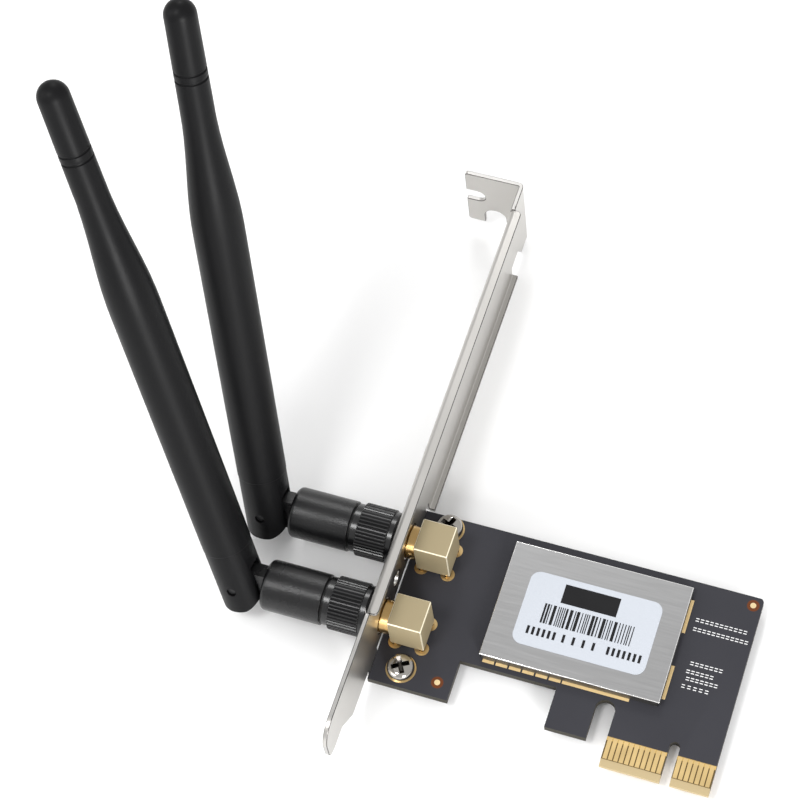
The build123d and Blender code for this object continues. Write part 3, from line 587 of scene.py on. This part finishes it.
def crossCutter(top, turn):
    bm = bmesh.new()
    reach = screwLook["crossReach"] * mm
    width = screwLook["crossWidth"] * mm
    depth = screwLook["crossDepth"] * mm
    taper = screwLook["crossTaper"]
    flare = screwLook["crossFlare"]
    for quarter in (0, 1):
        arm = bmesh.ops.create_cube(bm, size=1.0)["verts"]
        bmesh.ops.scale(bm, vec=(2 * reach, width, 2 * depth), verts=arm)
        bmesh.ops.scale(bm, vec=(taper, taper, 1.0), verts=[v for v in arm if v.co.z < 0])
        bmesh.ops.scale(bm, vec=(flare, flare, 1.0), verts=[v for v in arm if v.co.z > 0])
        spun = Matrix.Rotation(quarter * math.pi / 2 + turn, 3, "Z")
        bmesh.ops.rotate(bm, cent=(0, 0, 0), matrix=spun, verts=arm)
        bmesh.ops.translate(bm, vec=(0, 0, top), verts=arm)
    return bm


def screwThread(bm, bottom):
    outer = screwLook["threadRadius"] * mm
    inner = (screwLook["shankRadius"] - screwLook["threadSink"]) * mm
    pitch = screwLook["threadPitch"] * mm
    steps = screwLook["threadSteps"]
    turns = screwLook["threadTurns"]
    rise = [bottom + v * mm for v in screwLook["threadRise"]]
    profile = [bm.verts.new((r, 0, z)) for r, z in zip((inner, outer, inner), rise)]
    face = bm.faces.new(profile)
    bmesh.ops.spin(bm, geom=[face], cent=(0, 0, 0), axis=(0, 0, 1), dvec=(0, 0, pitch / steps),
                   angle=2 * math.pi * turns, steps=steps * turns, use_duplicate=False)


def makeScrews():
    low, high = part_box("bracket_screws")
    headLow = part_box("screw_lands")[1][2]
    radius = (high[0] - low[0]) / 2
    shank = screwLook["shankRadius"] * mm
    x = (low[0] + high[0]) / 2
    whole = bmesh.new()
    for y, degrees in zip((low[1] + radius, high[1] - radius), screwLook["turnDegrees"]):
        bm = bmesh.new()
        screwHead(bm, radius, headLow, high[2])
        head = newPiece("screw_head", bm, "screwNickel")
        cutter = newPiece("screw_cutter", crossCutter(high[2], math.radians(degrees)), "screwNickel")
        # the cutter's faces leave a painted shade on the recess walls and floor
        for thing in (head, cutter):
            thing.data.materials.append(finish["recessShade"])
        for face in cutter.data.polygons:
            face.material_index = 1
        cut = head.modifiers.new("cross", "BOOLEAN")
        cut.object = cutter
        cut.operation = "DIFFERENCE"
        cut.solver = "EXACT"
        cut.use_self = True
        graph = bpy.context.evaluated_depsgraph_get()
        carved = bpy.data.meshes.new_from_object(head.evaluated_get(graph))
        part = bmesh.new()
        part.from_mesh(carved)
        bmesh.ops.create_cone(
            part, cap_ends=True, segments=screwLook["shankSides"], radius1=shank, radius2=shank,
            depth=headLow - low[2],
            matrix=Matrix.Translation((0, 0, (headLow + low[2]) / 2)),
        )
        screwThread(part, low[2])
        bmesh.ops.recalc_face_normals(part, faces=part.faces)
        bmesh.ops.translate(part, vec=(x, y, 0), verts=part.verts)
        placed = bpy.data.meshes.new("screw_placed")
        part.to_mesh(placed)
        part.free()
        whole.from_mesh(placed)
        for thing in (head, cutter):
            bpy.data.objects.remove(thing)
        for mesh in (carved, placed):
            bpy.data.meshes.remove(mesh)
    piece = newPiece("bracket_screws_fine", whole, "screwNickel")
    # the recess keeps its painted shade
    piece.data.materials.append(finish["recessShade"])
    easeEdges(piece, screwLook["ease"], math.radians(screwLook["easeDegrees"]))
    standFor(piece, "bracket_screws")


makeScrews()
print("screws made")


# printing: plain fields and dashes

labelPrint = {"lift": 0.012, "block": (10.6, 3.85), "blockAt": (-0.6, 4.33), "barsAt": (0.05, -0.43),
              "barsSize": (17.1, 4.0), "bars": 30, "barWidths": (1, 1, 2, 3),
              "barGaps": (1, 1, 2, 2), "seed": 5, "rowAt": (0.0, -4.35), "cell": (0.5, 1.6),
              "rowRuns": ((-10.4, 6, 1.0), (-3.6, 4, 1.9), (4.9, 7, 1.0))}  # start x, cells, pitch
boardPrint = {"lift": 0.012, "dash": (0.62, 0.17), "dashGap": 0.5, "rows": (  # start x, y, dashes, pitch
    (-2.9, 32.2, 11, 0.9), (-2.9, 30.3, 12, 0.88), (-1.6, 23.6, 7, 0.9),
    (-1.9, 21.9, 6, 0.88), (-1.6, 20.5, 7, 0.88), (-2.0, 18.9, 5, 1.1))}


def flatBox(bm, x0, x1, y0, y1, z0, z1):
    made = bmesh.ops.create_cube(bm, size=1.0)["verts"]
    bmesh.ops.scale(bm, vec=(x1 - x0, y1 - y0, z1 - z0), verts=made)
    bmesh.ops.translate(bm, vec=((x0 + x1) / 2, (y0 + y1) / 2, (z0 + z1) / 2), verts=made)


def makeLabelPrint():
    low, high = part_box("shield_label")
    cx = (low[0] + high[0]) / 2
    cy = (low[1] + high[1]) / 2
    z0 = high[2]
    z1 = z0 + labelPrint["lift"] * mm
    bm = bmesh.new()
    w, h = [v * mm / 2 for v in labelPrint["block"]]
    bx, by = [v * mm for v in labelPrint["blockAt"]]
    flatBox(bm, cx + bx - w, cx + bx + w, cy + by - h, cy + by + h, z0, z1)
    draw = random.Random(labelPrint["seed"])
    total, tall = [v * mm for v in labelPrint["barsSize"]]
    bx, by = [v * mm for v in labelPrint["barsAt"]]
    widths = [draw.choice(labelPrint["barWidths"]) for i in range(labelPrint["bars"])]
    gaps = [draw.choice(labelPrint["barGaps"]) for i in range(labelPrint["bars"])]
    unit = total / (sum(widths) + sum(gaps[:-1]))
    x = cx + bx - total / 2
    for width, gap in zip(widths, gaps):
        flatBox(bm, x, x + width * unit, cy + by - tall / 2, cy + by + tall / 2, z0, z1)
        x += (width + gap) * unit
    rx, ry = [v * mm for v in labelPrint["rowAt"]]
    wide, tall = [v * mm for v in labelPrint["cell"]]
    for start, count, pitch in labelPrint["rowRuns"]:
        for i in range(count):
            x0 = cx + rx + (start + i * pitch) * mm
            flatBox(bm, x0, x0 + wide, cy + ry - tall / 2, cy + ry + tall / 2, z0, z1)
    piece = newPiece("label_print", bm, "blackInk")
    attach(piece, bodyOf["shield_label"])


def makeBoardPrint():
    z0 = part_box("circuit_board")[1][2]
    z1 = z0 + boardPrint["lift"] * mm
    bm = bmesh.new()
    width, height = [v * mm for v in boardPrint["dash"]]
    half = boardPrint["dashGap"] * mm / 2
    for x, y, count, pitch in boardPrint["rows"]:
        for i in range(count):
            x0 = (x + i * pitch) * mm
            for middle in (y * mm - half, y * mm + half):
                flatBox(bm, x0, x0 + width, middle - height / 2, middle + height / 2, z0, z1)
    piece = newPiece("board_print", bm, "whiteInk")
    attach(piece, "card")


makeLabelPrint()
makeBoardPrint()
print("printing made")


# floor, light and camera

stageLook = {  # an even dome of light over a pale floor, floorHalf in m
    "floorDrop": 0.1, "floorHalf": 3.0, "floorColor": (0.95, 0.95, 0.95), "floorRough": 0.75, "dome": 0.8,
}
cameraLook = {  # fitted to the photograph, mm
    "place": (39.794, -154.181, 445.153), "lens": 117.0, "sensor": 36.0,
    "turn": (28.1565, 4.7193, 18.3114),  # degrees about x, y and z
}
lamps = {  # name: left, up and back from the middle of the part in m, size in m, watts
    "leftPanel": (0.85, 0.15, 0.40, 0.60, 1.6),
    "topPanel": (0.05, 0.86, 0.16, 0.25, 1.4),
    "frontPanel": (-0.26, -0.62, 0.60, 0.30, 7.0),
    "nearPanel": (0.40, 0.16, 0.88, 0.25, 2.8),
}


def makeStage():
    bm = bmesh.new()
    bmesh.ops.create_grid(bm, x_segments=2, y_segments=2, size=stageLook["floorHalf"])
    bmesh.ops.translate(bm, vec=(0, 0, cadBox[0][2] - stageLook["floorDrop"] * mm), verts=bm.verts)
    color, rough = stageLook["floorColor"], stageLook["floorRough"]
    finish["paleFloor"] = startMaterial("paleFloor", color, 0.0, rough)[0]
    floor = newPiece("floor", bm, "paleFloor")
    world = bpy.data.worlds.new("softStudio")
    bpy.context.scene.world = world
    world.use_nodes = True
    tone = stageLook["dome"]
    world.node_tree.nodes["Background"].inputs["Color"].default_value = (tone, tone, tone, 1.0)


def makeCamera():
    turn = Euler([math.radians(a) for a in cameraLook["turn"]]).to_matrix()
    data = bpy.data.cameras.new("photoCamera")
    data.sensor_fit = "HORIZONTAL"
    data.sensor_width = cameraLook["sensor"]
    data.lens = cameraLook["lens"]
    data.clip_start = 10 * mm
    camera = bpy.data.objects.new("photoCamera", data)
    bpy.context.scene.collection.objects.link(camera)
    camera.matrix_world = Matrix.Translation(Vector(cameraLook["place"]) * mm) @ turn.to_4x4()
    bpy.context.scene.camera = camera
    return [axis.copy() for axis in turn.col]  # its right, up and back


def makeLamps(right, up, back):
    middle = (Vector(cadBox[0]) + Vector(cadBox[1])) / 2
    for name, (left, above, towards, size, watts) in lamps.items():
        data = bpy.data.lights.new(name, "AREA")
        data.shape = "DISK"
        data.size = size
        data.energy = watts
        lamp = bpy.data.objects.new(name, data)
        bpy.context.scene.collection.objects.link(lamp)
        place = middle - right * left + up * above + back * towards
        aim = (place - middle).to_track_quat("Z", "Y").to_matrix().to_4x4()
        lamp.matrix_world = Matrix.Translation(place) @ aim


makeStage()
makeLamps(*makeCamera())
bpy.context.scene.view_settings.view_transform = "Standard"
print("stage ready")
